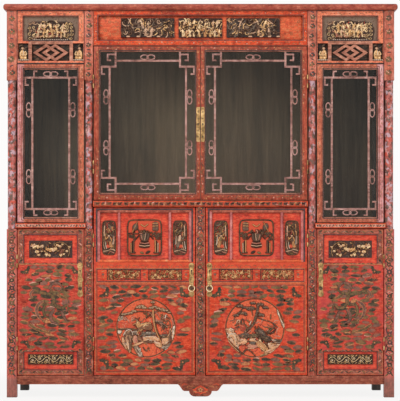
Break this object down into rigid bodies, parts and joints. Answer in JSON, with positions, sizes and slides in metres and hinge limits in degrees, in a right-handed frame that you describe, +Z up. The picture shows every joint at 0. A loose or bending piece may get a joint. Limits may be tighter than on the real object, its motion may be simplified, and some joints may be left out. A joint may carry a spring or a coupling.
{
  "type": "display cabinet",
  "caption": "Free-standing lacquered display cabinet: glazed doors with carved fretwork over painted cupboard doors, on posts, with a carved frieze and a flat cornice.",
  "frame": {"origin": "middle of the footprint of the overall box, at floor level", "axes": "+X to the viewer's right along the front, the front faces -Y, +Z up"},
  "size_m": [2.104, 0.518, 2.1],
  "materials": {
    "red_lacquer": "worn orange-red lacquer on wood",
    "painted_door": "red lacquer with painted cloud and scroll ornament",
    "fret_wood": "mauve-brown painted fretwork",
    "gilt_carving": "gilded and painted carving on a dark ground",
    "dark_case_wood": "dark stained wood",
    "inside_board": "plain brown board",
    "pane_glass": "clear window glass",
    "aged_brass": "dull aged brass"
  },
  "bodies": {
    "case": {"cornice_board": "red_lacquer", "post_outer_left": "red_lacquer", "post_outer_right": "red_lacquer", "post_inner_left": "red_lacquer", "post_inner_right": "red_lacquer", "post_rear_left": "dark_case_wood", "post_rear_right": "dark_case_wood", "side_panel_left": "dark_case_wood", "side_panel_right": "dark_case_wood", "back_panel": "dark_case_wood", "bottom_board": "inside_board", "partition_left": "inside_board", "partition_right": "inside_board", "display_floor_centre": "red_lacquer", "display_floor_left": "red_lacquer", "display_floor_right": "red_lacquer", "base_rail": "red_lacquer", "frieze_frame": "red_lacquer", "frieze_carving": "gilt_carving", "transom_frame_left": "red_lacquer", "transom_frame_right": "red_lacquer", "transom_carving_left": "gilt_carving", "transom_carving_right": "gilt_carving", "mullion": "red_lacquer", "glazed_door_centre_left_hinge_foot": "aged_brass", "glazed_door_centre_left_hinge_top": "aged_brass", "glazed_door_centre_right_hinge_foot": "aged_brass", "glazed_door_centre_right_hinge_top": "aged_brass", "cupboard_door_centre_left_hinge_foot": "aged_brass", "cupboard_door_centre_left_hinge_top": "aged_brass", "cupboard_door_centre_right_hinge_foot": "aged_brass", "cupboard_door_centre_right_hinge_top": "aged_brass", "cupboard_door_side_left_hinge_foot": "aged_brass", "cupboard_door_side_left_hinge_top": "aged_brass", "cupboard_door_side_right_hinge_foot": "aged_brass", "cupboard_door_side_right_hinge_top": "aged_brass"},
    "glazed_door_centre_left": {"glazed_door_centre_left_frame": "red_lacquer", "glazed_door_centre_left_fret": "fret_wood", "glazed_door_centre_left_pane": "pane_glass", "lock_strip_left": "aged_brass"},
    "glazed_door_centre_right": {"glazed_door_centre_right_frame": "red_lacquer", "glazed_door_centre_right_fret": "fret_wood", "glazed_door_centre_right_pane": "pane_glass", "lock_strip_right": "aged_brass"},
    "glazed_door_side_left": {"glazed_door_side_left_frame": "red_lacquer", "glazed_door_side_left_fret": "fret_wood", "glazed_door_side_left_pane": "pane_glass"},
    "glazed_door_side_right": {"glazed_door_side_right_frame": "red_lacquer", "glazed_door_side_right_fret": "fret_wood", "glazed_door_side_right_pane": "pane_glass"},
    "cupboard_door_centre_left": {"cupboard_door_centre_left": "painted_door", "lock_plate_centre_left": "aged_brass"},
    "cupboard_door_centre_right": {"cupboard_door_centre_right": "painted_door", "lock_plate_centre_right": "aged_brass"},
    "cupboard_door_side_left": {"cupboard_door_side_left": "painted_door", "lock_plate_side_left": "aged_brass"},
    "cupboard_door_side_right": {"cupboard_door_side_right": "painted_door", "lock_plate_side_right": "aged_brass"},
    "ring_pull_left": {"ring_pull_left": "aged_brass"},
    "ring_pull_right": {"ring_pull_right": "aged_brass"}
  },
  "joints": [
    {"name": "glazed_centre_left_hinge", "type": "hinge", "parent": "case", "child": "glazed_door_centre_left", "pos_m": [-0.5715, -0.2451, 1.45], "axis": [0, 0, -1], "range_deg": [0, 100]},
    {"name": "glazed_centre_right_hinge", "type": "hinge", "parent": "case", "child": "glazed_door_centre_right", "pos_m": [0.5715, -0.2451, 1.45], "axis": [0, 0, 1], "range_deg": [0, 100]},
    {"name": "glazed_side_left_pivot", "type": "hinge", "parent": "case", "child": "glazed_door_side_left", "pos_m": [-0.9705, -0.2305, 1.35], "axis": [0, 0, -1], "range_deg": [0, 100]},
    {"name": "glazed_side_right_pivot", "type": "hinge", "parent": "case", "child": "glazed_door_side_right", "pos_m": [0.9705, -0.2305, 1.35], "axis": [0, 0, 1], "range_deg": [0, 100]},
    {"name": "cupboard_centre_left_hinge", "type": "hinge", "parent": "case", "child": "cupboard_door_centre_left", "pos_m": [-0.5715, -0.2451, 0.57], "axis": [0, 0, -1], "range_deg": [0, 100]},
    {"name": "cupboard_centre_right_hinge", "type": "hinge", "parent": "case", "child": "cupboard_door_centre_right", "pos_m": [0.5715, -0.2451, 0.57], "axis": [0, 0, 1], "range_deg": [0, 100]},
    {"name": "cupboard_side_left_hinge", "type": "hinge", "parent": "case", "child": "cupboard_door_side_left", "pos_m": [-0.979, -0.2451, 0.51], "axis": [0, 0, -1], "range_deg": [0, 100]},
    {"name": "cupboard_side_right_hinge", "type": "hinge", "parent": "case", "child": "cupboard_door_side_right", "pos_m": [0.979, -0.2451, 0.51], "axis": [0, 0, 1], "range_deg": [0, 100]},
    {"name": "ring_left_swing", "type": "hinge", "parent": "cupboard_door_centre_left", "child": "ring_pull_left", "pos_m": [-0.04785, -0.2443, 0.599], "axis": [-1, 0, 0], "range_deg": [0, 80]},
    {"name": "ring_right_swing", "type": "hinge", "parent": "cupboard_door_centre_right", "child": "ring_pull_right", "pos_m": [0.04785, -0.2443, 0.599], "axis": [-1, 0, 0], "range_deg": [0, 80]}
  ]
}
